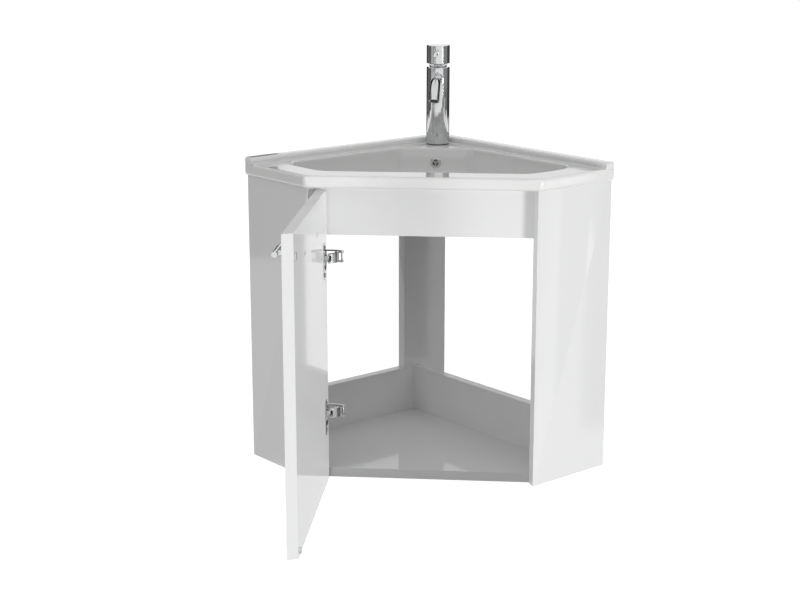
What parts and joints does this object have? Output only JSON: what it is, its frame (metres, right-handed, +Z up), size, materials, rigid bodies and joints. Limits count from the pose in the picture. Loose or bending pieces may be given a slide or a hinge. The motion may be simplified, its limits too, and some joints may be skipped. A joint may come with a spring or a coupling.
{
  "type": "corner vanity unit",
  "caption": "Five-sided corner vanity cabinet with open back, hinged door with bar handle, corner basin and pillar tap.",
  "frame": {"origin": "where the two walls meet, at the height of the cabinet's underside", "axes": "+Z up, -Y towards the user, the walls run along (-1, -1) and (1, -1)"},
  "size_m": [0.606, 0.7575, 0.6845],
  "materials": {
    "white_lacquer": "white high-gloss lacquer on board",
    "mineral_cast": "white glossy mineral cast",
    "chrome": "polished chrome",
    "zinc_steel": "zinc-plated steel",
    "beech": "plain beech",
    "clear_bumper": "soft clear plastic",
    "black_plastic": "matt black plastic",
    "black_rubber": "black rubber"
  },
  "bodies": {
    "cabinet": {"left_side_panel": "white_lacquer", "right_side_panel": "white_lacquer", "bottom_board": "white_lacquer", "front_apron": "white_lacquer", "lower_left_rail": "white_lacquer", "lower_right_rail": "white_lacquer", "corner_post": "white_lacquer", "upper_left_rail": "white_lacquer", "upper_right_rail": "white_lacquer", "dowels": "beech", "apron_brackets": "zinc_steel", "bracket_screws": "zinc_steel", "hinge_plate_top": "zinc_steel", "hinge_plate_bottom": "zinc_steel", "hinge_arm_top": "zinc_steel", "hinge_arm_bottom": "zinc_steel", "arm_pins": "zinc_steel", "plate_screws": "zinc_steel", "arm_screws": "zinc_steel", "basin": "mineral_cast", "overflow_ring": "chrome", "waste_flange": "chrome", "waste_seal": "black_rubber", "waste_nut": "chrome", "tap_seal": "black_rubber", "tap_body": "chrome", "spout": "chrome", "aerator": "black_plastic", "tap_shank": "zinc_steel", "tap_washer": "black_rubber", "tap_nut": "zinc_steel"},
    "door": {"door": "white_lacquer", "door_bumpers": "clear_bumper", "handle_bar": "chrome", "handle_posts": "chrome", "handle_screws": "zinc_steel", "hinge_cup_top": "chrome", "hinge_cup_bottom": "chrome", "cup_pins": "zinc_steel", "cup_screws": "zinc_steel"},
    "inner_link_top": {"inner_link_top": "zinc_steel"},
    "inner_link_bottom": {"inner_link_bottom": "zinc_steel"},
    "outer_link_top": {"outer_link_top": "chrome"},
    "outer_link_bottom": {"outer_link_bottom": "chrome"},
    "lever_spindle": {"lever_spindle": "chrome", "lever_axle": "zinc_steel"},
    "lever_cap": {"lever_cap": "chrome", "lever_pin": "chrome"},
    "drain_plug": {"drain_plug": "chrome"}
  },
  "joints": [
    {"name": "inner_link_top_turn", "type": "hinge", "parent": "cabinet", "child": "inner_link_top", "pos_m": [-0.14198, -0.39136, 0.375], "axis": [0, 0, 1], "range_deg": [-14, 1]},
    {"name": "door_swing", "type": "hinge", "parent": "inner_link_top", "child": "door", "pos_m": [-0.1609, -0.4123, 0.375], "axis": [0, 0, 1], "range_deg": [0, 103.27]},
    {"name": "inner_link_bottom_turn", "type": "hinge", "parent": "cabinet", "child": "inner_link_bottom", "pos_m": [-0.14198, -0.39136, 0.115], "axis": [0, 0, 1], "range_deg": [-14, 1]},
    {"name": "outer_link_top_turn", "type": "hinge", "parent": "cabinet", "child": "outer_link_top", "pos_m": [-0.1315, -0.3965, 0.375], "axis": [0, 0, 1], "range_deg": [-22, 1]},
    {"name": "outer_link_bottom_turn", "type": "hinge", "parent": "cabinet", "child": "outer_link_bottom", "pos_m": [-0.1315, -0.3965, 0.115], "axis": [0, 0, 1], "range_deg": [-22, 1]},
    {"name": "lever_swivel", "type": "hinge", "parent": "cabinet", "child": "lever_spindle", "pos_m": [0, -0.0625, 0.656], "axis": [0, 0, 1], "range_deg": [-45, 45]},
    {"name": "lever_lift", "type": "hinge", "parent": "lever_spindle", "child": "lever_cap", "pos_m": [0, -0.0625, 0.656], "axis": [-1, 0, 0], "range_deg": [0, 12]},
    {"name": "plug_lift", "type": "slide", "parent": "cabinet", "child": "drain_plug", "axis": [0, 0, 1], "range_m": [0, 0.008]}
  ],
  "couplings": [
    {"joint": "inner_link_top_turn", "follows": "door_swing", "ratio": -0.12846},
    {"joint": "inner_link_bottom_turn", "follows": "door_swing", "ratio": -0.12846},
    {"joint": "outer_link_top_turn", "follows": "door_swing", "ratio": -0.202},
    {"joint": "outer_link_bottom_turn", "follows": "door_swing", "ratio": -0.202}
  ]
}
